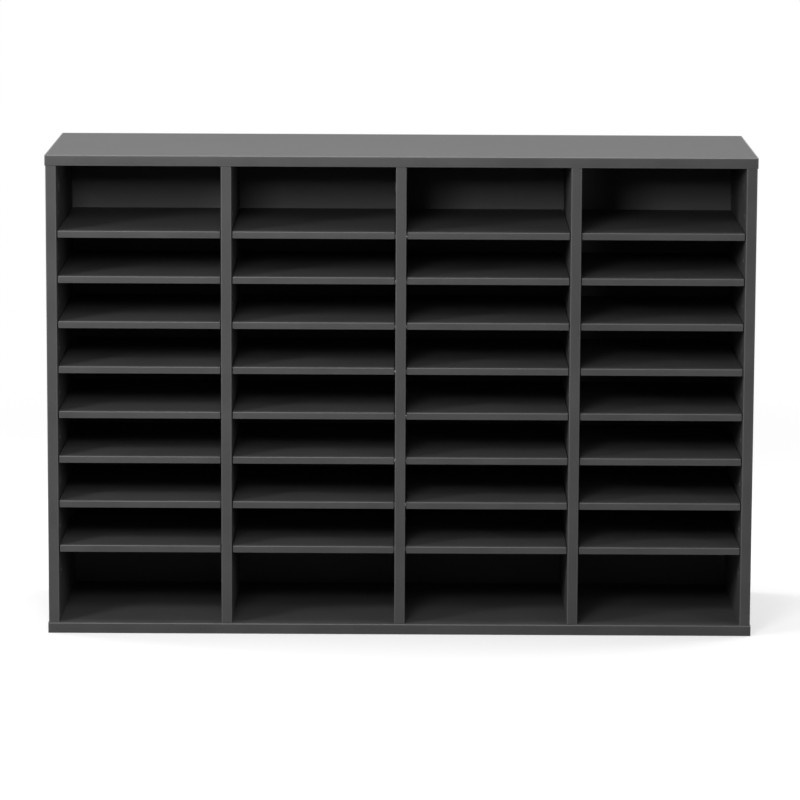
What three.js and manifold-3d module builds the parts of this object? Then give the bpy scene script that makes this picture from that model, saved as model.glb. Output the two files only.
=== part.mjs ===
// Pigeonhole mail sorter: a carcass of melamine-faced boards with four bays of loose shelves,
// each shelf lying on four pegs in a line-bored grid of holes.
// Millimetres, +Z up, the open front towards -Y, the origin under the middle of the bottom panel.

import * as THREE from "three";
import { mergeVertices } from "three/addons/utils/BufferGeometryUtils.js";
import Module from "manifold-3d";

const wasm = await Module();
wasm.setup();

// Carcass boards
const BAYS = 4;
const BAY_WIDTH = 230; // clear width between two uprights
const UPRIGHT_HEIGHT = 651; // clear height between the bottom and top panels
const DEPTH = 320; // front to back of the top and bottom panels
const BOARD = 15; // thickness of the top, bottom, sides and dividers
const REVEAL = 1; // how far the top and bottom stand past the uprights at the front and the ends
const BOARD_EASING = 1.5; // radius of the banded front edge of a carcass board
const SEAM = 0.2; // hairline between pieces that lie against each other

// Loose shelves
const SHELF_THICKNESS = 10;
const SHELF_END_GAP = 1; // between a shelf's end and the upright beside it
const SHELF_RECESS = 3; // how far a shelf stands back from the fronts of the uprights
const SHELF_BACK_GAP = 1; // between a shelf and the back panel
const SHELF_EASING = 1;

// Line-bored holes and the pegs in them
const HOLE_PITCH = 32;
const HOLE_MARGIN = 69; // least distance from a hole to either end of an upright
const HOLES_PER_LEVEL = 2; // holes from one shelf up to the next
const PEG_DIAMETER = 5; // as is the hole
const PEG_REACH = 6; // how far a peg's half-round tongue stands out of the upright
const FRONT_PEG_INSET = 37; // from the front edge of the upright
const REAR_PEG_INSET = 20; // from the face of the back panel

// Back panel and the groove that holds it
const BACK_THICKNESS = 3;
const BACK_INSET = 22; // from the rear edges of the carcass to the back panel
const GROOVE_DEPTH = 5;
const GROOVE_CLEARANCE = 0.3; // on each face of the back panel
const GROOVE_END_CLEARANCE = 0.5; // between the back panel's edges and the bottom of the groove

// Joinery at the ends of the uprights
const BLIND_SKIN = 3; // what is left of a board behind a blind hole
const FITTING_INSET = 50; // from the upright's front edge, and from the back panel
const DOWEL_OFFSET = 32; // from a fitting to the dowel beside it
const DOWEL_DIAMETER = 8;
const DOWEL_CLEARANCE = 0.3; // round a dowel, and past its tip
const CAM_DIAMETER = 14.6;
const CAM_SETBACK = 34; // from the upper end of an upright to the centre of its cam
const CAM_SLOT_WIDTH = 2; // of the cross that a screwdriver turns
const CAM_SLOT_LENGTH = 8;
const CAM_SLOT_DEPTH = 2;
const BOLT_DIAMETER = 6; // the cam's bolt, screwed into the top panel
const FITTING_CLEARANCE = 0.3; // round cams, bolts and screws
const SCREW_HEAD_DIAMETER = 10;
const SCREW_HEAD_HEIGHT = 3.5;
const SCREW_RIM = 0.5; // straight edge of the head, below its cone
const SCREW_NECK_DIAMETER = 7; // where the screw passes the bottom panel
const SCREW_CORE_DIAMETER = 5; // where it bites into the upright
const SCREW_BITE = 35; // how far it reaches into the upright
const SCREW_POINT = 4;
const SCREW_SINK = 0.5; // the head lies this far above the underside

// How finely round features are faceted
const ROUND_SIDES = 8;
const TONGUE_SIDES = 4; // to the half round
const CAM_SIDES = 12;
const EASING_STEPS = 1; // two facets to a quarter turn

// Sizes that follow from the ones above
const uprightLength = UPRIGHT_HEIGHT - 2 * SEAM;
const uprightPitch = BAY_WIDTH + BOARD;
const innerWidth = BAYS * BAY_WIDTH + (BAYS - 1) * BOARD;
const panelWidth = innerWidth + 2 * (BOARD + REVEAL);
const backFace = DEPTH - BACK_INSET - BACK_THICKNESS;
const bayDepth = backFace - REVEAL;
const blindDepth = BOARD - BLIND_SKIN;
const grooveWidth = BACK_THICKNESS + 2 * GROOVE_CLEARANCE;
const grooveMiddle = backFace + BACK_THICKNESS / 2;
const uprightBase = BOARD + SEAM;
const uprightTop = uprightBase + uprightLength;
const holeCount = Math.floor((uprightLength - 2 * HOLE_MARGIN) / HOLE_PITCH) + 1;
const pegRows = [FRONT_PEG_INSET, bayDepth - REAR_PEG_INSET];
const fittingRows = [FITTING_INSET, bayDepth - FITTING_INSET];
const dowelRows = [FITTING_INSET + DOWEL_OFFSET, bayDepth - FITTING_INSET - DOWEL_OFFSET];
const rowNames = ["front", "rear"];
const dowelReach = blindDepth - DOWEL_CLEARANCE - SEAM;

// A shelf lies on every second hole, from the second hole to the last but one.
const shelfHoles = [];
for (let hole = 1; hole < holeCount - 1; hole += HOLES_PER_LEVEL) {
  shelfHoles.push(hole);
}

const melamine = new THREE.MeshStandardMaterial({ color: 0x47474a, roughness: 0.5, metalness: 0 });
const hardboard = new THREE.MeshStandardMaterial({ color: 0x333335, roughness: 0.7, metalness: 0 });
const zinc = new THREE.MeshStandardMaterial({ color: 0xa9abad, roughness: 0.4, metalness: 1 });
const steel = new THREE.MeshStandardMaterial({ color: 0xc2b280, roughness: 0.35, metalness: 1 });

// Closed geometry as a solid that can be joined and cut.
function solidOf(geometry) {
  const bare = geometry.clone();
  bare.deleteAttribute("normal");
  bare.deleteAttribute("uv");
  const merged = mergeVertices(bare);
  const mesh = new wasm.Mesh({
    numProp: 3,
    vertProperties: merged.attributes.position.array,
    triVerts: new Uint32Array(merged.index.array),
  });
  return new wasm.Manifold(mesh);
}

// A joined or cut solid as geometry again, with flat faces.
function geometryOf(solid) {
  const mesh = solid.getMesh();
  const shared = new THREE.BufferGeometry();
  shared.setAttribute("position", new THREE.BufferAttribute(mesh.vertProperties, 3));
  shared.setIndex(new THREE.BufferAttribute(mesh.triVerts, 1));
  const flat = shared.toNonIndexed();
  flat.computeVertexNormals();
  return flat;
}

// Cuts all of one list out of a geometry and joins all of another list to it.
function worked(geometry, cuts, additions = []) {
  let solid = solidOf(geometry).subtract(wasm.Manifold.union(cuts.map(solidOf)));
  if (additions.length) {
    solid = solid.add(wasm.Manifold.union(additions.map(solidOf)));
  }
  return geometryOf(solid);
}

// A board's section: depth along u from its front edge, thickness centred on v, the front edge eased.
function easedSection(depth, thickness, easing) {
  const half = thickness / 2;
  const radius = Math.min(easing, half);
  const section = new THREE.Shape();
  section.moveTo(depth, -half);
  section.lineTo(depth, half);
  section.lineTo(radius, half);
  section.absarc(radius, half - radius, radius, Math.PI / 2, Math.PI, false);
  section.lineTo(0, radius - half);
  section.absarc(radius, radius - half, radius, Math.PI, 1.5 * Math.PI, false);
  section.closePath();
  return section;
}

function extruded(section, length) {
  const options = { depth: length, bevelEnabled: false, curveSegments: EASING_STEPS };
  return new THREE.ExtrudeGeometry(section, options).translate(0, 0, -length / 2);
}

// A level board with its length along X, front edge at y = 0, centred on x = 0 and z = 0.
function levelBoard(length, depth, thickness, easing) {
  const turn = new THREE.Matrix4().makeBasis(
    new THREE.Vector3(0, 1, 0),
    new THREE.Vector3(0, 0, 1),
    new THREE.Vector3(1, 0, 0),
  );
  return extruded(easedSection(depth, thickness, easing), length).applyMatrix4(turn);
}

// A standing board with its length along Z, front edge at y = 0, foot at z = 0, centred on x = 0.
function standingBoard(length, depth, thickness, easing) {
  const board = extruded(easedSection(depth, thickness, easing), length);
  return board.rotateZ(Math.PI / 2).translate(0, 0, length / 2);
}

// A regular section with flats facing up and down, measured across the flats.
function roundSection(diameter, sides) {
  const radius = diameter / 2 / Math.cos(Math.PI / sides);
  const corners = [];
  for (let i = 0; i < sides; i += 1) {
    const angle = Math.PI / 2 + ((2 * i + 1) * Math.PI) / sides;
    corners.push(new THREE.Vector2(radius * Math.cos(angle), radius * Math.sin(angle)));
  }
  return new THREE.Shape(corners);
}

// A rod centred on the origin, upright or lying along X with a flat on top.
function rodAlongZ(diameter, length, sides = ROUND_SIDES) {
  return extruded(roundSection(diameter, sides), length);
}

function rodAlongX(diameter, length, sides = ROUND_SIDES) {
  return rodAlongZ(diameter, length, sides).rotateZ(Math.PI / 2).rotateY(Math.PI / 2);
}

// The tongue of a peg, lying along X: the lower half of a rod, with the flat that carries a shelf at z = 0.
function tongueAlongX(diameter, length) {
  const radius = diameter / 2;
  const corners = [];
  for (let i = 0; i <= TONGUE_SIDES; i += 1) {
    const angle = Math.PI * (1 + i / TONGUE_SIDES);
    corners.push(new THREE.Vector2(radius * Math.cos(angle), radius * Math.sin(angle)));
  }
  return extruded(new THREE.Shape(corners), length).rotateZ(Math.PI / 2).rotateY(Math.PI / 2);
}

// The screw's outline turned about Z, grown by a clearance when it is the hole for it.
function screwBody(clearance) {
  const foot = clearance ? -SCREW_SINK - SEAM : 0;
  const neckEnd = BOARD - SCREW_SINK + SEAM / 2;
  const tip = BOARD - SCREW_SINK + SCREW_BITE;
  const head = SCREW_HEAD_DIAMETER / 2 + clearance;
  const neck = SCREW_NECK_DIAMETER / 2 + clearance;
  const core = SCREW_CORE_DIAMETER / 2 + clearance;
  const outline = [
    new THREE.Vector2(0, foot),
    new THREE.Vector2(head, foot),
    new THREE.Vector2(head, SCREW_RIM + clearance),
    new THREE.Vector2(neck, SCREW_HEAD_HEIGHT + clearance),
    new THREE.Vector2(neck, neckEnd),
    new THREE.Vector2(core, neckEnd),
    new THREE.Vector2(core, tip - SCREW_POINT + clearance),
    new THREE.Vector2(0, tip + clearance),
  ];
  return new THREE.LatheGeometry(outline, ROUND_SIDES).rotateX(Math.PI / 2);
}

// A side or a divider: faces lists the faces that look into a bay, -1 for -X and 1 for +X.
// Its spare peg holes are blind in a side and go right through a divider.
function uprightGeometry(depth, faces, camFace) {
  const cuts = [];
  const additions = [];
  const half = BOARD / 2;
  const isDivider = faces.length > 1;
  for (const row of pegRows) {
    for (let hole = 0; hole < holeCount; hole += 1) {
      const height = HOLE_MARGIN + hole * HOLE_PITCH;
      if (shelfHoles.includes(hole)) {
        for (const face of faces) {
          const peg = tongueAlongX(PEG_DIAMETER, half + PEG_REACH);
          additions.push(peg.translate(face * (half + PEG_REACH) / 2, row, height));
        }
      } else if (isDivider) {
        cuts.push(rodAlongX(PEG_DIAMETER, 2 * BOARD).translate(0, row, height));
      } else {
        const bore = rodAlongX(PEG_DIAMETER, 2 * blindDepth);
        cuts.push(bore.translate(faces[0] * half, row, height));
      }
    }
  }
  if (!isDivider) {
    const groove = new THREE.BoxGeometry(2 * GROOVE_DEPTH, grooveWidth, 2 * uprightLength);
    cuts.push(groove.translate(faces[0] * half, grooveMiddle - REVEAL, uprightLength / 2));
  }
  for (const row of fittingRows) {
    const camBore = rodAlongX(CAM_DIAMETER + 2 * FITTING_CLEARANCE, 2 * blindDepth, CAM_SIDES);
    cuts.push(camBore.translate(camFace * half, row, uprightLength - CAM_SETBACK));
    const boltBore = rodAlongZ(BOLT_DIAMETER + 2 * FITTING_CLEARANCE, 2 * CAM_SETBACK);
    cuts.push(boltBore.translate(0, row, uprightLength));
    const screwBore = rodAlongZ(
      SCREW_CORE_DIAMETER + 2 * FITTING_CLEARANCE, 2 * (SCREW_BITE + FITTING_CLEARANCE),
    );
    cuts.push(screwBore.translate(0, row, 0));
  }
  for (const row of dowelRows) {
    for (const end of [0, uprightLength]) {
      additions.push(rodAlongZ(DOWEL_DIAMETER, 2 * dowelReach).translate(0, row, end));
    }
  }
  return worked(standingBoard(uprightLength, depth, BOARD, BOARD_EASING), cuts, additions);
}

// The top or bottom panel: side is the face that the uprights stand against, 1 for its upper face.
function panelGeometry(side, uprightPlaces, screwed) {
  const inner = side * BOARD / 2;
  const grooveLength = innerWidth + 2 * GROOVE_DEPTH;
  const groove = new THREE.BoxGeometry(grooveLength, grooveWidth, 2 * GROOVE_DEPTH);
  const cuts = [groove.translate(0, grooveMiddle, inner)];
  for (const place of uprightPlaces) {
    for (const row of dowelRows) {
      const hole = rodAlongZ(DOWEL_DIAMETER + 2 * DOWEL_CLEARANCE, 2 * blindDepth);
      cuts.push(hole.translate(place, REVEAL + row, inner));
    }
    for (const row of fittingRows) {
      const hole = screwed
        ? screwBody(FITTING_CLEARANCE).translate(0, 0, SCREW_SINK - BOARD / 2)
        : rodAlongZ(BOLT_DIAMETER + 2 * FITTING_CLEARANCE, 2 * blindDepth).translate(0, 0, inner);
      cuts.push(hole.translate(place, REVEAL + row, 0));
    }
  }
  return worked(levelBoard(panelWidth, DEPTH, BOARD, BOARD_EASING), cuts);
}

// A cam with its bolt drawn tight in it, centred where their axes cross; the cross slot faces a bay.
function camFittingGeometry(face) {
  const outer = BOARD / 2 - SEAM;
  const thickness = blindDepth - FITTING_CLEARANCE - SEAM;
  const cam = rodAlongX(CAM_DIAMETER, thickness, CAM_SIDES);
  cam.translate(face * (outer - thickness / 2), 0, 0);
  const slotSizes = [
    [CAM_SLOT_WIDTH, CAM_SLOT_LENGTH],
    [CAM_SLOT_LENGTH, CAM_SLOT_WIDTH],
  ];
  const slots = slotSizes.map(([across, tall]) => {
    const slot = new THREE.BoxGeometry(2 * CAM_SLOT_DEPTH, across, tall);
    return slot.translate(face * outer, 0, 0);
  });
  const boltLength = CAM_SETBACK + SEAM + blindDepth - FITTING_CLEARANCE;
  const bolt = rodAlongZ(BOLT_DIAMETER, boltLength).translate(0, 0, boltLength / 2);
  return worked(cam, slots, [bolt]);
}

function piece(name, geometry, material, x, y, z) {
  const mesh = new THREE.Mesh(geometry, material);
  mesh.name = name;
  mesh.position.set(x, y, z);
  return mesh;
}

// The uprights from left to right; a cam faces the bay inside a side, or the bay further from the middle.
const uprights = [];
for (let i = 0; i <= BAYS; i += 1) {
  const isLeft = i === 0;
  const isRight = i === BAYS;
  const isSide = isLeft || isRight;
  const name = isLeft ? "left_side" : isRight ? "right_side" : `divider_${i}`;
  const faces = isLeft ? [1] : isRight ? [-1] : [-1, 1];
  const x = (i - BAYS / 2) * uprightPitch;
  const outward = x > 0 ? 1 : -1;
  const camFace = isSide ? -outward : outward;
  const depth = isSide ? DEPTH - REVEAL : bayDepth - SEAM;
  uprights.push({ name, faces, x, camFace, depth });
}
const uprightPlaces = uprights.map((upright) => upright.x);

// Everything is placed from the front edge of the bottom panel, then centred front to back.
const carcass = new THREE.Group();
carcass.position.y = -DEPTH / 2;

carcass.add(piece("bottom_panel", panelGeometry(1, uprightPlaces, true), melamine, 0, 0, BOARD / 2));
const topHeight = BOARD + UPRIGHT_HEIGHT + BOARD / 2;
carcass.add(piece("top_panel", panelGeometry(-1, uprightPlaces, false), melamine, 0, 0, topHeight));

for (const { name, faces, x, camFace, depth } of uprights) {
  const geometry = uprightGeometry(depth, faces, camFace);
  carcass.add(piece(name, geometry, melamine, x, REVEAL, uprightBase));
  fittingRows.forEach((row, i) => {
    const y = REVEAL + row;
    const cam = camFittingGeometry(camFace);
    carcass.add(piece(`cam_fitting_${name}_${rowNames[i]}`, cam, zinc, x, y, uprightTop - CAM_SETBACK));
    carcass.add(piece(`base_screw_${name}_${rowNames[i]}`, screwBody(0), steel, x, y, SCREW_SINK));
  });
}

const backWidth = innerWidth + 2 * (GROOVE_DEPTH - GROOVE_END_CLEARANCE);
const backHeight = UPRIGHT_HEIGHT + 2 * (GROOVE_DEPTH - GROOVE_END_CLEARANCE);
const backGeometry = new THREE.BoxGeometry(backWidth, BACK_THICKNESS, backHeight);
const backMiddle = BOARD + UPRIGHT_HEIGHT / 2;
carcass.add(piece("back_panel", backGeometry, hardboard, 0, grooveMiddle, backMiddle));

// One group for each bay, its loose shelves lying on the pegs from the lowest level up.
const shelfLength = BAY_WIDTH - 2 * SHELF_END_GAP;
const shelfDepth = bayDepth - SHELF_RECESS - SHELF_BACK_GAP;
for (let bay = 0; bay < BAYS; bay += 1) {
  const shelves = new THREE.Group();
  shelves.position.set((bay - (BAYS - 1) / 2) * uprightPitch, REVEAL + SHELF_RECESS, uprightBase);
  shelfHoles.forEach((hole, level) => {
    const underside = HOLE_MARGIN + hole * HOLE_PITCH + SEAM;
    const geometry = levelBoard(shelfLength, shelfDepth, SHELF_THICKNESS, SHELF_EASING);
    const name = `shelf_bay${bay + 1}_level${level + 1}`;
    shelves.add(piece(name, geometry, melamine, 0, 0, underside + SHELF_THICKNESS / 2));
  });
  carcass.add(shelves);
}

const sorter = new THREE.Group();
sorter.add(carcass);

export default sorter;
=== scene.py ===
# %% [markdown]
# # A pigeonhole mail sorter in charcoal melamine
# The sorter is flat-pack office furniture: boards of particleboard faced with charcoal melamine, held by
# cam fittings and screws, with loose shelves on metal pegs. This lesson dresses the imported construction
# model. Each step first says what the piece is on the real object, then builds it.

# %% Load the construction model
import math

import bmesh
import bpy
from mathutils import Matrix, Vector


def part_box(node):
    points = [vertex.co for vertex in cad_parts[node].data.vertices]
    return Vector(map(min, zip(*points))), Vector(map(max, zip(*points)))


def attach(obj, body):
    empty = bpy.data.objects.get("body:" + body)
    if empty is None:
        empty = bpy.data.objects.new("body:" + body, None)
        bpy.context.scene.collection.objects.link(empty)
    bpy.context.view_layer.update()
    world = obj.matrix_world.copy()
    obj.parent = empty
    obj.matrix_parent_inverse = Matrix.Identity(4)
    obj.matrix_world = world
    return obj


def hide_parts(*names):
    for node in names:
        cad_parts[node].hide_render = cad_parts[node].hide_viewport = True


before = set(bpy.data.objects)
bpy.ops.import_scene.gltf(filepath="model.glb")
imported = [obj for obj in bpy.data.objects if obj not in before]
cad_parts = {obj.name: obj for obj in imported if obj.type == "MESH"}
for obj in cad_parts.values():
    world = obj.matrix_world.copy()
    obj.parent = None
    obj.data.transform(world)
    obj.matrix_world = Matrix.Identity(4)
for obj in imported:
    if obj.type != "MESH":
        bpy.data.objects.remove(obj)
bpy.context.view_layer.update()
MM = 0.001

# %% [markdown]
# ## Where the boards stand
# The sorter is seven boards, a back and 32 shelves. Their sizes could be typed in again here, but then
# the looks would drift from the construction model when it changes, so the boards are read from it. An
# upright's box takes in its pegs and dowels, so its board is found from the outer face of a side and from
# the thickness of the top panel. Small shapes, such as a groove or a screw head, are given by named
# values where they are made.

# %% Read the board sizes from the frame
CARCASS = "carcass"
SEAM = 0.2 * MM  # hairline between pieces that lie against each other
top_low, top_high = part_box("top_panel")
bottom_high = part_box("bottom_panel")[1]
back_low, back_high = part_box("back_panel")
board_thickness = top_high.z - top_low.z
upright_foot = bottom_high.z + SEAM
upright_head = top_low.z - SEAM

upright_names = ["left_side", "divider_1", "divider_2", "divider_3", "right_side"]
side_names = {"left_side", "right_side"}
left_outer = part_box("left_side")[0].x
right_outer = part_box("right_side")[1].x
bays = len(upright_names) - 1
upright_pitch = (right_outer - left_outer - board_thickness) / bays
upright_x = {
    name: left_outer + board_thickness / 2 + i * upright_pitch for i, name in enumerate(upright_names)
}
shelf_names = sorted(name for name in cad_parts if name.startswith("shelf_"))
first_bay = sorted(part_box(name)[0].z for name in shelf_names if "_bay1_" in name)
shelf_spacing = first_bay[1] - first_bay[0]
print("uprights at", [round(x / MM, 1) for x in upright_x.values()], "mm")
print(len(shelf_names), "shelves,", round(shelf_spacing / MM, 1), "mm apart")

# %% [markdown]
# ## The camera
# The photograph was taken from about six metres with a long lens, a little above the sorter. A camera
# could be nudged by eye until the picture fits. Here its place, turn and lens come from fitting a pinhole
# camera to the edges of the boards, and the lens isn't shifted, so the camera can go round the sorter as
# well.

# %% Make the camera
CAMERA_PLACE = Vector((0.0099, -6.1924, 1.3022))
CAMERA_DOWN = math.radians(9.088)
CAMERA_LEFT = math.radians(0.099)
CAMERA_ROLL = math.radians(0.256)
CAMERA_LENS = 195.31
SENSOR_WIDTH = 36
camera_data = bpy.data.cameras.new("camera")
camera_data.sensor_width = SENSOR_WIDTH
camera_data.lens = CAMERA_LENS
camera = bpy.data.objects.new("camera", camera_data)
camera.matrix_world = (
    Matrix.Translation(CAMERA_PLACE)
    @ Matrix.Rotation(CAMERA_LEFT, 4, "Z")
    @ Matrix.Rotation(math.pi / 2 - CAMERA_DOWN, 4, "X")
    @ Matrix.Rotation(CAMERA_ROLL, 4, "Z")
)
bpy.context.scene.collection.objects.link(camera)
bpy.context.scene.camera = camera
bpy.context.scene.view_settings.view_transform = "Standard"
print("camera", round(CAMERA_PLACE.length, 2), "m from the middle of the base")

# %% [markdown]
# ## Node trees as Python
# Materials and Geometry Nodes are both node trees. They could be drawn by hand in the node editor, but a
# tree that is written down can be read and changed like any other code. `Value` wraps an output so that
# ordinary arithmetic adds Math nodes, and `Graph.add` makes any other node from its type, its settings
# and its sockets.

# %% A small language for node trees
class Value:
    """An output socket that Python arithmetic can be done on."""

    def __init__(self, graph, socket):
        self.graph = graph
        self.socket = socket

    def output(self, name):
        """Another output of the same node."""
        return Value(self.graph, self.socket.node.outputs[name])

    def __add__(self, other):
        return self.graph.math("ADD", self, other)

    def __sub__(self, other):
        return self.graph.math("SUBTRACT", self, other)

    def __rsub__(self, other):
        return self.graph.math("SUBTRACT", other, self)

    def __mul__(self, other):
        return self.graph.math("MULTIPLY", self, other)

    def __truediv__(self, other):
        return self.graph.math("DIVIDE", self, other)

    def __rtruediv__(self, other):
        return self.graph.math("DIVIDE", other, self)

    __radd__ = __add__
    __rmul__ = __mul__


class Graph:
    """A node tree that is filled from Python."""

    def __init__(self, tree):
        self.tree = tree
        self.tree.nodes.clear()

    def add(self, kind, settings=None, inputs=None, output=0):
        """Makes a node, its settings first, and returns one output. A list is many links to one socket."""
        node = self.tree.nodes.new(kind)
        for name, value in (settings or {}).items():
            setattr(node, name, value)
        for name, value in (inputs or {}).items():
            for one in value if isinstance(value, list) else [value]:
                if isinstance(one, Value):
                    self.tree.links.new(one.socket, node.inputs[name])
                else:
                    node.inputs[name].default_value = one
        return Value(self, node.outputs[output]) if node.outputs else None

    def math(self, operation, *values):
        return self.add("ShaderNodeMath", {"operation": operation}, dict(enumerate(values)))


print("node trees are written with", Graph.__name__, "and", Value.__name__)

# %% [markdown]
# ## Finishes
# Every finish is a pattern in space, read from Object coordinates. A picture wrapped round each board
# would show its seams and its pixels up close; a pattern in space has neither. As every finished piece
# sits at the origin, each board cuts its own part out of the pattern, so no two look alike.

# %% Start and close a finish
MIX_DARK, MIX_LIGHT, MIX_COLOUR = 6, 7, 2  # those sockets of a Mix node that are for colours


def start_finish(name):
    """A new material, its empty tree, and the place on the piece that its patterns read."""
    material = bpy.data.materials.new(name)
    material.use_nodes = True
    graph = Graph(material.node_tree)
    place = graph.add("ShaderNodeTexCoord", output="Object")
    return material, graph, place


def close_finish(graph, **sockets):
    """Ends a tree in the surface shader: a number is set on its socket, and a value is linked to it."""
    inputs = {name.replace("_", " "): value for name, value in sockets.items()}
    surface = graph.add("ShaderNodeBsdfPrincipled", None, inputs)
    graph.add("ShaderNodeOutputMaterial", None, {"Surface": surface})


def squeezed(graph, place, amount):
    """A place whose patterns are squeezed along each axis. An amount under 1 draws them out."""
    return graph.add("ShaderNodeVectorMath", {"operation": "MULTIPLY"}, {0: place, 1: amount}, "Vector")


def noise(graph, place, grain, detail, roughness=0.5, squeeze=(1, 1, 1)):
    """Noise whose blotches are about grain metres across before they are squeezed."""
    where = squeezed(graph, place, squeeze)
    inputs = {"Vector": where, "Scale": 1 / grain, "Detail": detail, "Roughness": roughness}
    return graph.add("ShaderNodeTexNoise", None, inputs)


def blend(graph, factor, dark, light):
    """A colour between two others."""
    inputs = {"Factor": factor, MIX_DARK: (*dark, 1), MIX_LIGHT: (*light, 1)}
    return graph.add("ShaderNodeMix", {"data_type": "RGBA"}, inputs, MIX_COLOUR)


def bumped(graph, height, strength, distance):
    """A normal that tilts as if the surface were raised by height."""
    return graph.add("ShaderNodeBump", None, {"Height": height, "Strength": strength, "Distance": distance})


print("patterns are measured in metres: a grain of 1 mm is", MM)

# %% [markdown]
# ## Charcoal melamine
# Melamine is a printed paper that is pressed with resin onto the board: one even charcoal, with a fine
# pearl texture that breaks up reflections. One flat colour would look like plastic foam. Here a slow
# cloud, a fine speckle and a finer pearl in the surface, all faint, give the print its life without
# showing as a pattern.

# %% Charcoal melamine for the faces of the boards
def melamine_finish():
    material, graph, place = start_finish("charcoal_melamine")
    cloud = noise(graph, place, grain=140 * MM, detail=5)
    speckle = noise(graph, place, grain=1.6 * MM, detail=2)
    pearl = noise(graph, place, grain=0.45 * MM, detail=2)
    tone = cloud * 0.75 + speckle * 0.25
    close_finish(
        graph,
        Base_Color=blend(graph, tone, dark=(0.043, 0.043, 0.045), light=(0.085, 0.085, 0.087)),
        Roughness=0.56 + cloud * 0.20 + speckle * 0.06,
        Specular_IOR_Level=0.25,
        Normal=bumped(graph, pearl, strength=0.25, distance=0.05 * MM),
    )
    return material


melamine = melamine_finish()
print("finish:", melamine.name)

# %% [markdown]
# ## Edge band
# The front edges are closed with a plastic band of the same colour. It is smoother than the melamine,
# with fine lines along its length from the trimming cutter. Noise that is drawn out along one axis makes
# such lines. The bands of lying boards run along X and those of standing boards along Z, so one function
# makes a finish for each.

# %% Plastic edge band
DRAWN_OUT = 0.02


def band_finish(name, squeeze):
    material, graph, place = start_finish(name)
    cloud = noise(graph, place, grain=60 * MM, detail=4)
    lines = noise(graph, place, grain=0.5 * MM, detail=2, squeeze=squeeze)
    tone = cloud * 0.8 + lines * 0.2
    close_finish(
        graph,
        Base_Color=blend(graph, tone, dark=(0.052, 0.052, 0.054), light=(0.087, 0.087, 0.089)),
        Roughness=0.32 + tone * 0.12,
        Specular_IOR_Level=0.25,
        Normal=bumped(graph, lines, strength=0.12, distance=0.03 * MM),
    )
    return material


lying_band = band_finish("lying_edge_band", squeeze=(DRAWN_OUT, 1, 1))
standing_band = band_finish("standing_edge_band", squeeze=(1, 1, DRAWN_OUT))
print("finishes:", lying_band.name, "and", standing_band.name)

# %% [markdown]
# ## Trimmed arrises, with a painted highlight
# An arris is the edge where two faces meet. The trimming cutter rounds it, and the buffing wheel leaves it
# with more shine. Its colour is paler than the band's: a painted highlight, which makes the fine bright
# lines along the shelves. A finish of its own on the rounding is simpler than finding the edges in the
# shader.

# %% Rounded, buffed edges with a painted highlight
def painted_highlight_finish():
    material, graph, place = start_finish("arris_painted_highlight")
    cloud = noise(graph, place, grain=40 * MM, detail=3)
    close_finish(
        graph,
        # paler than the band: a painted highlight along the rounded edge
        Base_Color=blend(graph, cloud, dark=(0.086, 0.086, 0.089), light=(0.115, 0.115, 0.118)),
        Roughness=0.34 + cloud * 0.10,
        Specular_IOR_Level=0.30,
    )
    return material


arris_painted_highlight = painted_highlight_finish()
print("finish:", arris_painted_highlight.name)

# %% [markdown]
# ## Raw particleboard
# Where the board is drilled, and on its rear edge, the particleboard shows: pale chips of many sizes
# pressed flat. Noise alone looks like cloth. A Voronoi pattern has cells with hard borders, as chips
# have, and gives each its own tone; it is squeezed in Z, because chips lie flat in the board.

# %% Raw particleboard
CHIP_LENGTH = 2.2 * MM
CHIP_SQUEEZE = (1, 1, 2.2)
FIBRE_SQUEEZE = (1, 1, 3)


def chipboard_finish():
    material, graph, place = start_finish("raw_particleboard")
    flat = squeezed(graph, place, CHIP_SQUEEZE)
    chip = graph.add("ShaderNodeTexVoronoi", None, {"Vector": flat, "Scale": 1 / CHIP_LENGTH}, "Color")
    tone = graph.add("ShaderNodeSeparateColor", None, {"Color": chip})
    fibre = noise(graph, place, grain=0.5 * MM, detail=3, roughness=0.6, squeeze=FIBRE_SQUEEZE)
    chips = tone * 0.65 + fibre * 0.35
    close_finish(
        graph,
        Base_Color=blend(graph, chips, dark=(0.20, 0.115, 0.055), light=(0.56, 0.40, 0.24)),
        Roughness=0.85,
        Specular_IOR_Level=0.2,
        Normal=bumped(graph, chips, strength=0.5, distance=0.2 * MM),
    )
    return material


chipboard = chipboard_finish()
print("finish:", chipboard.name)

# %% [markdown]
# ## Hardboard
# The back is a sheet of hardboard. Its front is lacquered charcoal, and matt: a shiny lacquer would mirror
# the white room and turn the pigeonholes grey. Its rear is bare brown fibre with the print of the wire
# screen that it was pressed on. The product of two sine waves is the dimpled weave of such a screen, and
# costs no picture.

# %% Hardboard, lacquered and bare
SCREEN_WIRE = 1.4 * MM  # from one dimple to the next along X or Z


def lacquered_hardboard_finish():
    material, graph, place = start_finish("lacquered_hardboard")
    cloud = noise(graph, place, grain=120 * MM, detail=4)
    fibre = noise(graph, place, grain=1.2 * MM, detail=3, roughness=0.6)
    tone = cloud * 0.5 + fibre * 0.5
    close_finish(
        graph,
        Base_Color=blend(graph, tone, dark=(0.086, 0.086, 0.088), light=(0.120, 0.120, 0.122)),
        Roughness=0.62 + tone * 0.15,
        Specular_IOR_Level=0.15,
        Normal=bumped(graph, fibre, strength=0.2, distance=0.06 * MM),
    )
    return material


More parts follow.
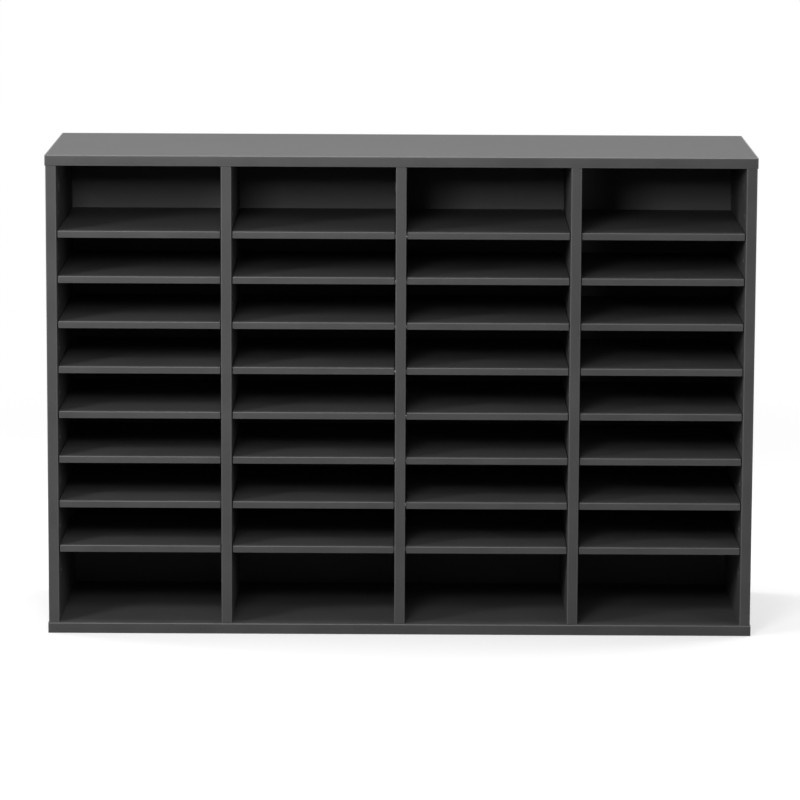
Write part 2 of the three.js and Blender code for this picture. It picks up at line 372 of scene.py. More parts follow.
def bare_hardboard_finish():
    material, graph, place = start_finish("bare_hardboard")
    split = graph.add("ShaderNodeSeparateXYZ", None, {0: place})
    waves = 2 * math.pi / SCREEN_WIRE
    across, up = [graph.math("SINE", split.output(axis) * waves) for axis in "XZ"]
    screen = across * up
    cloud = noise(graph, place, grain=90 * MM, detail=5)
    fibre = noise(graph, place, grain=1.5 * MM, detail=4, roughness=0.65)
    tone = cloud * 0.45 + fibre * 0.45 + screen * 0.05
    close_finish(
        graph,
        Base_Color=blend(graph, tone, dark=(0.090, 0.044, 0.021), light=(0.22, 0.12, 0.058)),
        Roughness=0.72 + fibre * 0.16,
        Specular_IOR_Level=0.25,
        Normal=bumped(graph, screen * 0.5 + fibre, strength=0.45, distance=0.15 * MM),
    )
    return material


lacquered_hardboard = lacquered_hardboard_finish()
bare_hardboard = bare_hardboard_finish()
print("finishes:", lacquered_hardboard.name, "and", bare_hardboard.name)

# %% [markdown]
# ## Metals
# The fittings are metal: nickel-plated pegs, grey die-cast cams, and screws with a yellow passivated skin
# whose tint drifts from gold to green. They differ only in two colours and in how rough they are, so one
# function makes all three.

# %% Metals
def metal_finish(name, dark, light, rough, spread, grain):
    material, graph, place = start_finish(name)
    cloud = noise(graph, place, grain, detail=3)
    fine = noise(graph, place, grain=0.3 * MM, detail=2)
    close_finish(
        graph,
        Base_Color=blend(graph, cloud, dark, light),
        Metallic=1.0,
        Roughness=rough + fine * spread,
        Normal=bumped(graph, fine, strength=0.15, distance=0.02 * MM),
    )
    return material


nickel = metal_finish(
    "nickel_plate", dark=(0.52, 0.50, 0.46), light=(0.66, 0.64, 0.60),
    rough=0.18, spread=0.16, grain=3 * MM,
)
zinc = metal_finish(
    "die_cast_zinc", dark=(0.36, 0.37, 0.38), light=(0.52, 0.53, 0.54),
    rough=0.36, spread=0.22, grain=2 * MM,
)
passivated_steel = metal_finish(
    "passivated_steel", dark=(0.55, 0.44, 0.22), light=(0.58, 0.55, 0.40),
    rough=0.24, spread=0.18, grain=4 * MM,
)
print("finishes:", nickel.name, zinc.name, passivated_steel.name)

# %% [markdown]
# ## Boards
# A board is more than a box: its front edge carries a band two millimetres thick, whose corners are
# trimmed to a small radius that catches the light. Geometry Nodes could stretch a box to size, but has no
# bevel, so a board is a small bmesh. The band is cut off as faces of its own, so that it can have a
# finish of its own.

# %% Shape a board and tell its faces apart
LYING_FINISHES = [melamine, lying_band, chipboard, arris_painted_highlight]
STANDING_FINISHES = [melamine, standing_band, chipboard, arris_painted_highlight]
FACE, BAND, RAW, ARRIS_HIGHLIGHT = range(len(LYING_FINISHES))
BAND_THICKNESS = 2 * MM
FACING = 0.5  # a face whose normal has more than this along an axis faces that way


def add_box(work, low, high):
    """Adds a box between two corners to a bmesh."""
    for vert in bmesh.ops.create_cube(work, size=1.0)["verts"]:
        vert.co = Vector((near + far) / 2 + at * (far - near) for at, near, far in zip(vert.co, low, high))


def cut_off_band(work, low, high, lying):
    """Cuts the bands off as faces: at the front, and at both ends of a lying board."""
    planes = [((0, low.y + BAND_THICKNESS, 0), (0, 1, 0))]
    if lying:
        planes += [((x, 0, 0), (1, 0, 0)) for x in (low.x + BAND_THICKNESS, high.x - BAND_THICKNESS)]
    for point, normal in planes:
        everything = work.verts[:] + work.edges[:] + work.faces[:]
        bmesh.ops.bisect_plane(work, geom=everything, plane_co=point, plane_no=normal)


def finish_faces(work, low, high, lying, raw_rear):
    """Gives each face its finish by where it is and which way it faces."""
    work.normal_update()
    for face in work.faces:
        centre = face.calc_center_median()
        at_front = centre.y < low.y + BAND_THICKNESS
        at_end = not low.x + BAND_THICKNESS < centre.x < high.x - BAND_THICKNESS
        if at_front or (lying and at_end):
            face.material_index = BAND
        elif face.normal.y > FACING:
            face.material_index = RAW if raw_rear else BAND
        else:
            face.material_index = FACE


print("a lying board is finished in", [finish.name for finish in LYING_FINISHES])

# %% [markdown]
# The edges could be rounded by hand, loop by loop. A Bevel modifier does it in one go: edge weights make
# it round the front more than the rest, and its material setting gives the rounding the arris finish,
# whose paler colour is a painted highlight. The ends of an upright are sawn square after it is banded, so
# they get only the fine arris.

# %% Round the edges of a board
ARRIS = 0.35 * MM
ARRIS_STEPS = 3
SAME_PLACE = 0.001 * MM
SHARP = math.radians(60)


def weigh_edges(work, front, easing, lying):
    """Weighs the sharp edges, so that the front ones are eased in full and the others by an arris."""
    weights = work.edges.layers.float.new("bevel_weight_edge")
    for edge in work.edges:
        if edge.calc_face_angle(0) > SHARP:
            first, second = [vert.co for vert in edge.verts]
            on_front = max(first.y, second.y) < front + SAME_PLACE
            across_end = not lying and abs(first.z - second.z) < SAME_PLACE
            edge[weights] = 1.0 if on_front and not across_end else ARRIS / easing


def linked(name, work, finishes):
    """An object in the scene from a bmesh, which is used up."""
    mesh = bpy.data.meshes.new(name)
    work.to_mesh(mesh)
    work.free()
    for finish in finishes:
        mesh.materials.append(finish)
    made = bpy.data.objects.new(name, mesh)
    bpy.context.scene.collection.objects.link(made)
    return made


def board_object(name, low, high, easing, lying, raw_rear):
    """A board between two corners, its front towards -Y, with its modifier still live."""
    work = bmesh.new()
    add_box(work, low, high)
    cut_off_band(work, low, high, lying)
    finish_faces(work, low, high, lying, raw_rear)
    weigh_edges(work, low.y, easing, lying)
    board = linked(name, work, LYING_FINISHES if lying else STANDING_FINISHES)
    bevel = board.modifiers.new("eased arrises", "BEVEL")
    bevel.limit_method = "WEIGHT"
    bevel.width = easing
    bevel.segments = ARRIS_STEPS
    # the rounding takes the arris finish, whose paler colour is a painted highlight
    bevel.material = ARRIS_HIGHLIGHT
    return board


print("arrises of", round(ARRIS / MM, 2), "mm in", ARRIS_STEPS, "steps")

# %% [markdown]
# A finished piece is a plain mesh that rides on its body of the construction model and stands in for the
# nodes that it covers. Weighted normals keep the wide flats flat and bend the light only on the
# roundings.

# %% Settle a piece and put it on its body
def made_plain(piece):
    """Turns what a piece's modifiers make of it into its own mesh, and drops them."""
    depsgraph = bpy.context.evaluated_depsgraph_get()
    mesh = bpy.data.meshes.new_from_object(piece.evaluated_get(depsgraph))
    mesh.name = piece.name
    piece.modifiers.clear()
    piece.data = mesh


def settle(piece):
    """Makes a piece plain, with its wide flats shaded flat."""
    weighted = piece.modifiers.new("flat faces", "WEIGHTED_NORMAL")
    weighted.keep_sharp = True
    piece.data.shade_smooth()
    made_plain(piece)


def keep(piece, body, slot, *nodes):
    """Rides a finished piece on its body and hides the nodes that it stands for."""
    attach(piece, body)
    if nodes:
        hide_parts(*nodes)
    print(piece.name, len(piece.data.polygons), "faces on", body)


print("a piece rides on the", CARCASS, "or on one of", len(shelf_names), "shelves")

# %% [markdown]
# ## Cuts in the boards
# The back panel sits in a groove, the cams in round bores and the screw heads in sunk holes. They could
# be drawn into the outline of each board; a Boolean modifier cuts them as a router and a drill do, after
# the board is banded. The cutter is of raw particleboard, so every cut shows raw board.

# %% Grooves and bores
GROOVE_DEPTH = 5 * MM
GROOVE_PLAY = 0.3 * MM
BORE_SIDES = 32


def add_drill(work, centre, axis, radius, length):
    """Adds a closed cylinder to a bmesh, its middle at the centre."""
    turn = Vector((0, 0, 1)).rotation_difference(Vector(axis)).to_matrix().to_4x4()
    bmesh.ops.create_cone(
        work, cap_ends=True, segments=BORE_SIDES, radius1=radius, radius2=radius, depth=length,
        matrix=Matrix.Translation(centre) @ turn,
    )


def add_groove(work, low_x, high_x, low_z, high_z):
    """Adds to a bmesh what the router takes away for one edge of the back panel."""
    low = (low_x, back_low.y - GROOVE_PLAY, low_z)
    high = (high_x, back_high.y + GROOVE_PLAY, high_z)
    add_box(work, low, high)


def cut_away(board, work):
    """Takes the closed shapes in a bmesh from a board. The cutter stays until the board is settled."""
    cutter = linked("cutter", work, [chipboard])
    boolean = board.modifiers.new("cuts", "BOOLEAN")
    boolean.object = cutter
    boolean.solver = "EXACT"
    boolean.material_mode = "TRANSFER"
    return cutter


print("grooves", round(GROOVE_DEPTH / MM, 1), "mm deep, with", round(GROOVE_PLAY / MM, 1), "mm of play")

# %% [markdown]
# ## The top and bottom panels
# Both run the full width, banded at the front and at both ends, and hold the back panel in a groove that
# stops short of the ends. The heads of the screws are sunk in the bottom panel. The two differ so little
# that one function makes both.

# %% Make the top and bottom panels
BOARD_EASING = 1.5 * MM
SCREW_HOLE_DIAMETER = 10.6 * MM
SCREW_HOLE_DEPTH = 4 * MM
screw_names = sorted(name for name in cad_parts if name.startswith("base_screw_"))


def make_panel(name, inner_face, screws):
    low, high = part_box(name)
    panel = board_object(name + "_board", low, high, BOARD_EASING, lying=True, raw_rear=True)
    work = bmesh.new()
    add_groove(work, back_low.x, back_high.x, inner_face - GROOVE_DEPTH, inner_face + GROOVE_DEPTH)
    for screw in screws:
        screw_low, screw_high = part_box(screw)
        centre = (screw_low + screw_high) / 2
        centre.z = low.z
        add_drill(work, centre, (0, 0, 1), SCREW_HOLE_DIAMETER / 2, 2 * SCREW_HOLE_DEPTH)
    cutter = cut_away(panel, work)
    settle(panel)
    bpy.data.objects.remove(cutter)
    keep(panel, CARCASS, "melamine_board", name)


make_panel("bottom_panel", bottom_high.z, screw_names)
make_panel("top_panel", top_low.z, [])

# %% [markdown]
# ## Shapes for Geometry Nodes
# Holes, pegs, cams and screws repeat, so trees make them. Their shapes are turned and drilled parts:
# rods, cones and blocks, put on lines of points in a front row and a rear row. A few short functions give
# the trees these words, so that each tree reads like a parts list.

# %% Words for the trees
ROWS = ("Front row", "Rear row")


def new_tree(name, sockets):
    """A Geometry Nodes tree with the two rows and other named inputs, and these as values by name."""
    tree = bpy.data.node_groups.new(name, "GeometryNodeTree")
    kinds = {"Geometry": "Geometry", **dict.fromkeys(ROWS, "Float"), **sockets}
    for socket, kind in kinds.items():
        tree.interface.new_socket(socket, in_out="INPUT", socket_type="NodeSocket" + kind)
    tree.interface.new_socket("Geometry", in_out="OUTPUT", socket_type="NodeSocketGeometry")
    graph = Graph(tree)
    given = graph.add("NodeGroupInput")
    return graph, {socket: given.output(socket) for socket in kinds}


def vector(graph, x, y, z):
    return graph.add("ShaderNodeCombineXYZ", None, {"X": x, "Y": y, "Z": z})


def join(graph, *parts):
    return graph.add("GeometryNodeJoinGeometry", None, {"Geometry": list(parts)})


def line(graph, count, start, step):
    inputs = {"Count": count, "Start Location": start, "Offset": step}
    return graph.add("GeometryNodeMeshLine", {"mode": "OFFSET"}, inputs)


def two_rows(graph, given, count, x, z, step):
    """A line of points in the front row and another in the rear row."""
    lines = [line(graph, count, vector(graph, x, given[row], z), step) for row in ROWS]
    return join(graph, *lines)


print("every tree has a", ROWS[0].lower(), "and a", ROWS[1].lower())

# %% Solid shapes for the trees
def moved(graph, shape, x, y, z):
    offset = vector(graph, x, y, z)
    return graph.add("GeometryNodeTransform", None, {"Geometry": shape, "Translation": offset})


def rod(graph, diameter, length, sides, lift=0.0):
    """A closed cylinder along Z, its middle lifted off the origin."""
    inputs = {"Vertices": sides, "Radius": diameter / 2, "Depth": length}
    cylinder = graph.add("GeometryNodeMeshCylinder", None, inputs)
    return moved(graph, cylinder, 0.0, 0.0, lift)


def cone(graph, foot, head, height, sides, lift=0.0):
    """A closed cone along Z between two diameters, its foot lifted off the origin."""
    inputs = {"Vertices": sides, "Radius Bottom": foot / 2, "Radius Top": head / 2, "Depth": height}
    return moved(graph, graph.add("GeometryNodeMeshCone", None, inputs), 0.0, 0.0, lift)


def block(graph, size):
    return graph.add("GeometryNodeMeshCube", None, {"Size": size})


def less(graph, shape, *cutters):
    settings = {"operation": "DIFFERENCE", "solver": "EXACT"}
    return graph.add("GeometryNodeMeshBoolean", settings, {"Mesh 1": shape, "Mesh 2": list(cutters)})


def scattered(graph, points, shape, turn=(0, 0, 0)):
    """A real copy of a shape on every point."""
    inputs = {"Points": points, "Instance": shape, "Rotation": turn}
    instances = graph.add("GeometryNodeInstanceOnPoints", None, inputs)
    return graph.add("GeometryNodeRealizeInstances", None, {"Geometry": instances})


def painted(graph, shape, finish):
    return graph.add("GeometryNodeSetMaterial", None, {"Geometry": shape, "Material": finish})


def close_tree(graph, shape):
    graph.add("NodeGroupOutput", None, {"Geometry": shape})
    print("tree:", graph.tree.name, "with", len(graph.tree.nodes), "nodes")
    return graph.tree


print("solid shapes:", [shape.__name__ for shape in (rod, cone, block)])

# %% [markdown]
# A tree works on an object as a modifier, which knows each input by an identifier. These could be counted
# off by hand, but one more input would then shift the others, so each is looked up by its name. What grows
# from nothing starts as an empty mesh.

# %% Use a tree on an object
SMOOTH_BELOW = math.radians(35)


def apply_tree(target, tree, **values):
    """Adds a tree to an object as a modifier, its inputs set by identifier."""
    modifier = target.modifiers.new(tree.name, "NODES")
    modifier.node_group = tree
    wanted = {name.replace("_", " "): value for name, value in values.items()}
    for item in tree.interface.items_tree:
        if item.in_out == "INPUT" and item.name in wanted:
            modifier[item.identifier] = wanted.pop(item.name)
    if wanted:
        raise KeyError(f"{tree.name} has no input named {sorted(wanted)}")


def grown(name, tree, **values):
    """An object whose mesh is what a tree makes from nothing."""
    made = linked(name, bmesh.new(), [])
    apply_tree(made, tree, **values)
    made_plain(made)
    made.data.shade_smooth()
    made.data.set_sharp_from_angle(angle=SMOOTH_BELOW)
    return made


print("edges under", round(math.degrees(SMOOTH_BELOW)), "degrees are shaded smooth")

# %% [markdown]
# ## Line boring
# A multi-spindle drill bores two rows of holes, 32 mm apart, up each upright: one hole in two carries
# pegs and the others are spare. Bores could be cut one by one as the grooves are. A tree sets a drill at
# every spare hole and takes them all from the board in one go, with the spacing and the count as inputs.
# In a side the holes are blind; in a divider they go right through.

# %% Build the line boring tree
DRILL_SIDES = 20


def line_boring_tree():
    sockets = {
        "Bore x": "Float", "Lowest hole": "Float", "Hole spacing": "Float", "Holes": "Int",
        "Hole diameter": "Float", "Bore length": "Float", "Bore wall": "Material",
    }
    graph, given = new_tree("line boring", sockets)
    step = vector(graph, 0.0, 0.0, given["Hole spacing"])
    holes = two_rows(graph, given, given["Holes"], given["Bore x"], given["Lowest hole"], step)
    drill = rod(graph, given["Hole diameter"], given["Bore length"], DRILL_SIDES)
    drills = scattered(graph, holes, drill, (0, math.pi / 2, 0))
    return close_tree(graph, less(graph, given["Geometry"], painted(graph, drills, given["Bore wall"])))


line_boring = line_boring_tree()

# %% [markdown]
# ## The uprights
# Two sides and three dividers, banded at the front. The sides hold the back panel in a groove, and each
# upright has two bores for the cams that draw it up to the top panel. The box of each node says how deep
# the upright is and which of its faces the cams open to, so one function makes all five.

# %% Read where the pegs and cams are
PEG_DIAMETER = 5 * MM
FRONT_PEG_INSET = 37 * MM
REAR_PEG_INSET = 20 * MM
front_peg_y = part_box("left_side")[0].y + FRONT_PEG_INSET
rear_peg_y = back_low.y - REAR_PEG_INSET
lowest_peg = first_bay[0] - SEAM
lowest_spare = lowest_peg - shelf_spacing / 2
spare_holes = len(first_bay) + 1


def cam_facts(upright, row):
    """A cam's node, its centre, its diameter, the face that it opens to and the height of its bolt's head."""
    node = f"cam_fitting_{upright}_{row}"
    low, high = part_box(node)
    diameter = high.y - low.y
    middle_x = upright_x[upright]
    face = 1 if high.x - middle_x > middle_x - low.x else -1
    centre = Vector((middle_x, (low.y + high.y) / 2, low.z + diameter / 2))
    return {"node": node, "centre": centre, "diameter": diameter, "face": face, "head": high.z}


print("peg rows at", round(front_peg_y / MM, 1), "and", round(rear_peg_y / MM, 1), "mm")
print(spare_holes, "spare holes a row")

# %% Make the uprights
BLIND_DEPTH = 12 * MM
CAM_PLAY = 0.3 * MM


def make_upright(name):
    low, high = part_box(name)
    middle = upright_x[name]
    low.x, high.x = middle - board_thickness / 2, middle + board_thickness / 2
    low.z, high.z = upright_foot, upright_head
    upright = board_object(name + "_board", low, high, BOARD_EASING, lying=False, raw_rear=True)
    work = bmesh.new()
    for cam in (cam_facts(name, "front"), cam_facts(name, "rear")):
        mouth = cam["centre"] + Vector((cam["face"] * board_thickness / 2, 0, 0))
        add_drill(work, mouth, (1, 0, 0), cam["diameter"] / 2 + CAM_PLAY, 2 * BLIND_DEPTH)
    bore_x = middle
    bore_length = 2 * board_thickness
    if name in side_names:
        bore_x = high.x if middle < 0 else low.x
        bore_length = 2 * BLIND_DEPTH
        add_groove(
            work, bore_x - GROOVE_DEPTH, bore_x + GROOVE_DEPTH, low.z - GROOVE_DEPTH, high.z + GROOVE_DEPTH
        )
    cutter = cut_away(upright, work)
    apply_tree(
        upright, line_boring, Bore_x=bore_x, Front_row=front_peg_y, Rear_row=rear_peg_y,
        Lowest_hole=lowest_spare, Hole_spacing=shelf_spacing, Holes=spare_holes,
        Hole_diameter=PEG_DIAMETER, Bore_length=bore_length, Bore_wall=chipboard,
    )
    settle(upright)
    bpy.data.objects.remove(cutter)
    keep(upright, CARCASS, "melamine_board", name)


for upright_name in upright_names:
    make_upright(upright_name)

# %% [markdown]
# ## The loose shelves
# A shelf is a thinner board, and its ends are sealed, because they show when it is drawn out. Copies of
# one shelf would be quicker to make, but each can be drawn out by itself, so each is a body and needs a
# mesh of its own.

# %% Make the shelves
SHELF_EASING = 1.2 * MM
for shelf_name in shelf_names:
    low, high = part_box(shelf_name)
    shelf = board_object(shelf_name + "_board", low, high, SHELF_EASING, lying=True, raw_rear=False)
    settle(shelf)
    keep(shelf, shelf_name, "melamine_board", shelf_name)

# %% [markdown]
# ## The back panel
# One sheet of hardboard, three millimetres thick, is caught in the grooves all round. A box with soft
# edges is enough for it: what makes it hardboard is that its front and its rear have different finishes.

# %% Make the back panel
SHEET_FINISHES = [lacquered_hardboard, bare_hardboard]
LACQUERED, BARE = range(len(SHEET_FINISHES))
SHEET_STEPS = 2


def make_back_sheet():
    work = bmesh.new()
    add_box(work, back_low, back_high)
    work.normal_update()
    for face in work.faces:
        face.material_index = LACQUERED if face.normal.y < -FACING else BARE
    sheet = linked("back_sheet", work, SHEET_FINISHES)
    bevel = sheet.modifiers.new("soft edges", "BEVEL")
    bevel.width = ARRIS
    bevel.segments = SHEET_STEPS
    settle(sheet)
    keep(sheet, CARCASS, "hardboard_back", "back_panel")


make_back_sheet()

# %% [markdown]
# ## Pegs
# A peg is a plated pin with a thin collar that lies against the upright. The part that stands out is
# milled down to a half-round tongue, and the shelf lies on its flat. Four carry each shelf, 128 in all:
# far too many to place by hand. One tree places all that face one way, as a line of bays, a line of
# levels and two rows, and the mill is a block that is taken from the tongue.

# %% Build the peg tree
PEG_REACH = 6 * MM
PEG_ROOT = 3 * MM
COLLAR_DIAMETER = 7 * MM
COLLAR_THICKNESS = 0.7 * MM
TIP_LENGTH = 0.8 * MM
TIP_DIAMETER = 4 * MM
PEG_SIDES = 12


def peg_shape(graph, diameter):
    """A peg along Z from the face of the upright, its flat towards -X."""
    straight = PEG_REACH - TIP_LENGTH
    root = rod(graph, diameter, PEG_ROOT, PEG_SIDES, -PEG_ROOT / 2)
    collar = rod(graph, COLLAR_DIAMETER, COLLAR_THICKNESS, PEG_SIDES, COLLAR_THICKNESS / 2)
    shank = rod(graph, diameter, straight, PEG_SIDES, straight / 2)
    tip = cone(graph, diameter, TIP_DIAMETER, TIP_LENGTH, PEG_SIDES, straight)
    half = block(graph, (PEG_REACH, 2 * PEG_REACH, 4 * PEG_REACH))
    mill = moved(graph, half, -PEG_REACH / 2, 0.0, 0.0)
    return join(graph, root, collar, less(graph, shank, mill), less(graph, tip, mill))


def peg_tree():
    sockets = {
        "Wall x": "Float", "Bay pitch": "Float", "Bays": "Int", "Lowest peg": "Float",
        "Level spacing": "Float", "Levels": "Int", "Turn": "Float", "Peg diameter": "Float",
        "Plating": "Material",
    }
    graph, given = new_tree("shelf pegs", sockets)
    along = vector(graph, given["Bay pitch"], 0.0, 0.0)
    bottom = two_rows(graph, given, given["Bays"], given["Wall x"], given["Lowest peg"], along)
    levels = line(graph, given["Levels"], (0, 0, 0), vector(graph, 0.0, 0.0, given["Level spacing"]))
    turn = vector(graph, 0.0, math.pi / 2, given["Turn"])
    pegs = scattered(graph, scattered(graph, bottom, levels), peg_shape(graph, given["Peg diameter"]), turn)
    return close_tree(graph, painted(graph, pegs, given["Plating"]))


shelf_pegs = peg_tree()

# %% Place the pegs
for facing, wall_x, turn in (
    ("right", upright_x["left_side"] + board_thickness / 2, 0.0),
    ("left", upright_x["divider_1"] - board_thickness / 2, math.pi),
):
    pegs = grown(
        f"pegs_facing_{facing}", shelf_pegs, Wall_x=wall_x, Bay_pitch=upright_pitch, Bays=bays,
        Front_row=front_peg_y, Rear_row=rear_peg_y, Lowest_peg=lowest_peg, Level_spacing=shelf_spacing,
        Levels=len(first_bay), Turn=turn, Peg_diameter=PEG_DIAMETER, Plating=nickel,
    )
    keep(pegs, CARCASS, "steel_screw")

# %% [markdown]
# ## Cam fittings
# A cam is a die-cast drum with a cross slot. Turned with a screwdriver, it draws a bolt in the top panel
# down into the upright. A thin charcoal cap pressed over it hides it in the wall of the top pigeonholes.
# Turned and cut shapes like these need no drawing: rods less rods and blocks make them.

# %% Build the cam tree
CAM_SIDES = 40
CAM_DEPTH = 11.4 * MM
CAM_RIM = 0.6 * MM
SLOT_WIDTH = 2 * MM
SLOT_LENGTH = 8.4 * MM
SLOT_DEPTH = 2.2 * MM
BOLT_DIAMETER = 6 * MM
CAP_DIAMETER = 17 * MM
CAP_THICKNESS = 0.6 * MM
CAP_CROWN = 0.4 * MM
CROWN_SLOPE = 2  # how far the crown runs in for its height


def drum_shape(graph, diameter):
    """A cam along -Z from the face of the upright, dished, with a cross slot."""
    drum = rod(graph, diameter, CAM_DEPTH, CAM_SIDES, -CAM_DEPTH / 2)
    dish = rod(graph, diameter - 2 * CAM_RIM, CAM_RIM, CAM_SIDES)
    slots = [(SLOT_WIDTH, SLOT_LENGTH, 2 * SLOT_DEPTH), (SLOT_LENGTH, SLOT_WIDTH, 2 * SLOT_DEPTH)]
    return less(graph, drum, dish, *[block(graph, slot) for slot in slots])


def cap_shape(graph):
    """A cap along Z from the face of the upright, with a sloping crown."""
    brim = rod(graph, CAP_DIAMETER, CAP_THICKNESS, CAM_SIDES, CAP_THICKNESS / 2 + SEAM)
    crown_head = CAP_DIAMETER - 2 * CROWN_SLOPE * CAP_CROWN
    crown = cone(graph, CAP_DIAMETER, crown_head, CAP_CROWN, CAM_SIDES, CAP_THICKNESS + SEAM)
    return join(graph, brim, crown)


def cam_tree():
    sockets = {
        "Face x": "Float", "Bolt x": "Float", "Height": "Float", "Turn": "Float",
        "Cam diameter": "Float", "Bolt length": "Float", "Casting": "Material", "Cap": "Material",
    }
    graph, given = new_tree("cam fittings", sockets)
    mouths = two_rows(graph, given, 1, given["Face x"], given["Height"], (0, 0, 0))
    bolt_feet = two_rows(graph, given, 1, given["Bolt x"], given["Height"], (0, 0, 0))
    outwards = vector(graph, 0.0, given["Turn"], 0.0)
    cams = scattered(graph, mouths, drum_shape(graph, given["Cam diameter"]), outwards)
    bolt = rod(graph, BOLT_DIAMETER, given["Bolt length"], PEG_SIDES, given["Bolt length"] / 2)
    castings = painted(graph, join(graph, cams, scattered(graph, bolt_feet, bolt)), given["Casting"])
    caps = painted(graph, scattered(graph, mouths, cap_shape(graph), outwards), given["Cap"])
    return close_tree(graph, join(graph, castings, caps))


cam_fittings = cam_tree()

# %% Place the cams
for upright_name in upright_names:
    front = cam_facts(upright_name, "front")
    rear = cam_facts(upright_name, "rear")
    face_x = front["centre"].x + front["face"] * (board_thickness / 2 - SEAM)
    cams = grown(
        f"cams_{upright_name}", cam_fittings, Face_x=face_x, Bolt_x=front["centre"].x,
        Front_row=front["centre"].y, Rear_row=rear["centre"].y, Height=front["centre"].z,
        Turn=front["face"] * math.pi / 2, Cam_diameter=front["diameter"],
        Bolt_length=front["head"] - front["centre"].z, Casting=zinc, Cap=lying_band,
    )
    keep(cams, CARCASS, "zinc_cam", front["node"], rear["node"])

# %% [markdown]
# ## Base screws
# The uprights are screwed to the bottom panel from below with coarse countersunk screws. Only the heads
# show, sunk in the underside, each with a hexagon socket. The threads are buried in the boards, so a
# plain core stands in for them.

# %% Build the screw tree
HEAD_DIAMETER = 10 * MM
HEAD_RIM = 0.6 * MM
HEAD_CONE = 3 * MM
NECK_DIAMETER = 7 * MM
CORE_DIAMETER = 5 * MM
SOCKET_DIAMETER = 4.6 * MM
SOCKET_DEPTH = 2.5 * MM
SOCKET_SIDES = 6
SCREW_SIDES = 24


def screw_shape(graph, neck_length, screw_length):
    """A screw along Z, its head at the origin."""
    socket = rod(graph, SOCKET_DIAMETER, 2 * SOCKET_DEPTH, SOCKET_SIDES)
    rim = rod(graph, HEAD_DIAMETER, HEAD_RIM, SCREW_SIDES, HEAD_RIM / 2)
    taper = cone(graph, HEAD_DIAMETER, NECK_DIAMETER, HEAD_CONE, SCREW_SIDES, HEAD_RIM)
    neck_foot = HEAD_RIM + HEAD_CONE
    neck_run = neck_length - neck_foot
    neck = rod(graph, NECK_DIAMETER, neck_run, SCREW_SIDES, neck_run / 2 + neck_foot)
    core_run = screw_length - neck_length
    core = rod(graph, CORE_DIAMETER, core_run, SCREW_SIDES, core_run / 2 + neck_length)
    return join(graph, less(graph, rim, socket), less(graph, taper, socket), neck, core)


def screw_tree():
    sockets = {
        "First x": "Float", "Pitch": "Float", "Screws": "Int", "Head z": "Float",
        "Neck length": "Float", "Screw length": "Float", "Skin": "Material",
    }
    graph, given = new_tree("base screws", sockets)
    step = vector(graph, given["Pitch"], 0.0, 0.0)
    heads = two_rows(graph, given, given["Screws"], given["First x"], given["Head z"], step)
    screws = scattered(graph, heads, screw_shape(graph, given["Neck length"], given["Screw length"]))
    return close_tree(graph, painted(graph, screws, given["Skin"]))


base_screws = screw_tree()

# %% Place the screws
front_low, front_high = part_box("base_screw_left_side_front")
rear_low, rear_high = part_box("base_screw_left_side_rear")
screws = grown(
    "base_screws", base_screws, First_x=upright_x["left_side"], Pitch=upright_pitch,
    Screws=len(upright_names), Front_row=(front_low.y + front_high.y) / 2,
    Rear_row=(rear_low.y + rear_high.y) / 2, Head_z=front_low.z, Neck_length=board_thickness - front_low.z,
    Screw_length=front_high.z - front_low.z, Skin=passivated_steel,
)
keep(screws, CARCASS, "steel_screw", *screw_names)

# %% [markdown]
# ## The floor
# The sorter was photographed on white. A floor that only takes light would need so much of it that the
# sorter would wash out. This one also glows a little by itself, for the camera alone, so it is white in
# plain light and still keeps the sorter's shadow. Farther off it fades to plain white, and light that
# bounces off it towards the sorter meets a grey floor, as in a studio with dark curtains.

# %% Make the floor
FLOOR_RADIUS = 30.0
FLOOR_SIDES = 64
FLOOR_GAP = 0.3 * MM
FLOOR_GLOW = 0.45
FADE_START = 0.9
FADE_END = 2.2
WHITE = (1, 1, 1, 1)
PAPER = (0.58, 0.58, 0.58, 1)
CURTAIN_GREY = (0.3, 0.3, 0.3, 1)


def floor_finish():
    material, graph, place = start_finish("studio_floor")
    paper = graph.add("ShaderNodeBsdfDiffuse", None, {"Color": PAPER})
    glow = graph.add("ShaderNodeEmission", None, {"Color": WHITE, "Strength": FLOOR_GLOW})
    near = graph.add("ShaderNodeAddShader", None, {0: paper, 1: glow})
    far = graph.add("ShaderNodeEmission", None, {"Color": WHITE, "Strength": 1.0})
    reach = graph.add("ShaderNodeVectorMath", {"operation": "LENGTH"}, {0: place}, "Value")
    fade_inputs = {"Value": reach, "From Min": FADE_START, "From Max": FADE_END}
    fade = graph.add("ShaderNodeMapRange", {"interpolation_type": "SMOOTHSTEP"}, fade_inputs)
    shown = graph.add("ShaderNodeMixShader", None, {"Fac": fade, 1: near, 2: far})
    bounce = graph.add("ShaderNodeBsdfDiffuse", None, {"Color": CURTAIN_GREY})
    seen = graph.add("ShaderNodeLightPath", output="Is Camera Ray")
    surface = graph.add("ShaderNodeMixShader", None, {"Fac": seen, 1: bounce, 2: shown})
    graph.add("ShaderNodeOutputMaterial", None, {"Surface": surface})
    return material


def make_floor():
    work = bmesh.new()
    below = Matrix.Translation((0, 0, -FLOOR_GAP))
    bmesh.ops.create_circle(work, cap_ends=True, segments=FLOOR_SIDES, radius=FLOOR_RADIUS, matrix=below)
    return linked("floor", work, [floor_finish()])


make_floor()
print("floor of", round(2 * FLOOR_RADIUS), "m")

# %% [markdown]
# ## Backdrop and lamps
# The camera, and metal that mirrors the room, see a white world, but it gives almost no light, so that the
# pigeonholes go dark inside. One big lamp could not do what the photograph shows. The key light, high in
# front, lights the front of every shelf. The fill, lower and to the left, reaches the back of the top row.
# A kicker at each side brightens the ends of the front, a wide lamp overhead lights the top, and two more
# behind light the flanks.

# %% Make the backdrop
AMBIENT = 0.023


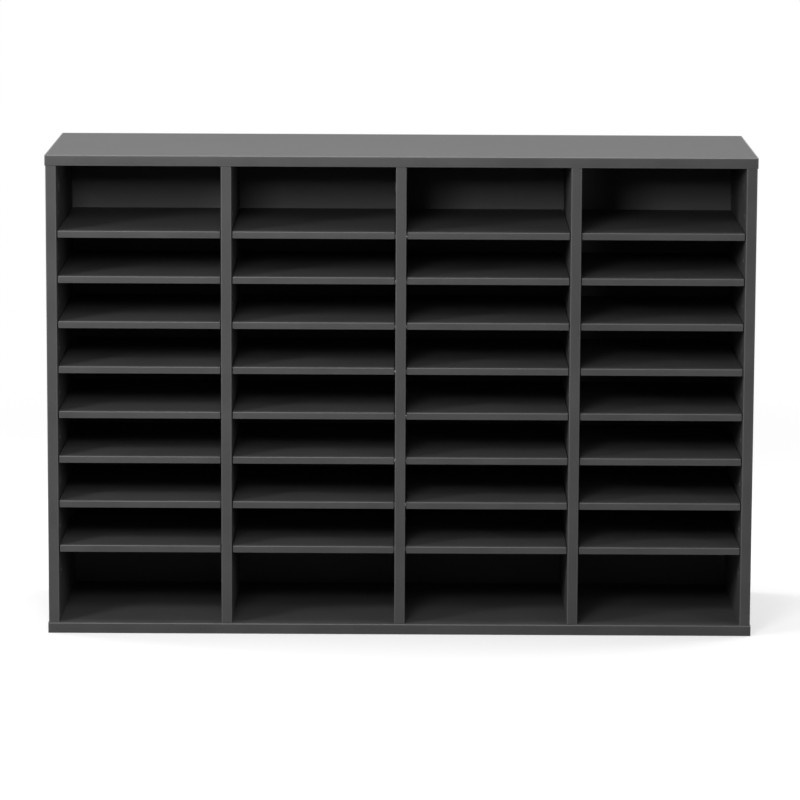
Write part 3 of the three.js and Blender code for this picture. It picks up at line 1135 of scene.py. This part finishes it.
def make_world():
    world = bpy.data.worlds.new("studio")
    world.use_nodes = True
    graph = Graph(world.node_tree)
    path = graph.add("ShaderNodeLightPath")
    shown = path.output("Is Camera Ray")
    for other in ("Is Glossy Ray", "Is Transmission Ray"):
        shown = graph.math("MAXIMUM", shown, path.output(other))
    backdrop = graph.add("ShaderNodeBackground", None, {"Color": WHITE, "Strength": 1.0})
    ambient = graph.add("ShaderNodeBackground", None, {"Color": WHITE, "Strength": AMBIENT})
    surface = graph.add("ShaderNodeMixShader", None, {"Fac": shown, 1: ambient, 2: backdrop})
    graph.add("ShaderNodeOutputWorld", None, {"Surface": surface})
    return world


bpy.context.scene.world = make_world()
print("backdrop:", bpy.context.scene.world.name)

# %% Hang the lamps
MIDDLE = (0, 0, 0.35)


def soft_box(name, place, aim, width, height, watts):
    """Hangs an area lamp at a place and turns it to what it lights."""
    data = bpy.data.lights.new(name, "AREA")
    data.shape = "RECTANGLE"
    data.size = width
    data.size_y = height
    data.energy = watts
    lamp = bpy.data.objects.new(name, data)
    direction = Vector(aim) - Vector(place)
    lamp.matrix_world = Matrix.Translation(place) @ direction.to_track_quat("-Z", "Y").to_matrix().to_4x4()
    bpy.context.scene.collection.objects.link(lamp)
    print("lamp:", name, watts, "W")


soft_box("key", place=(-0.2, -1.95, 1.6), aim=MIDDLE, width=0.6, height=0.5, watts=9.6)
soft_box("fill", place=(-0.42, -2.2, 1.15), aim=MIDDLE, width=0.5, height=0.3, watts=14.2)
soft_box("left_kicker", place=(-1.3, -1.2, 1.0), aim=(-0.5, -0.16, 0.6), width=0.3, height=0.3, watts=11)
soft_box("right_kicker", place=(1.3, -1.2, 0.6), aim=(0.5, -0.16, 0.3), width=0.3, height=0.3, watts=2.3)
soft_box("left_flank", place=(-2.6, 1.1, 1.5), aim=(-0.4, 0.1, 0.35), width=1.2, height=1.2, watts=35)
soft_box("right_flank", place=(2.6, 1.1, 1.5), aim=(0.4, 0.1, 0.35), width=1.2, height=1.2, watts=35)
soft_box("overhead", place=(0, 0.1, 2.6), aim=(0, 0, 0.6), width=2.4, height=1.6, watts=60)
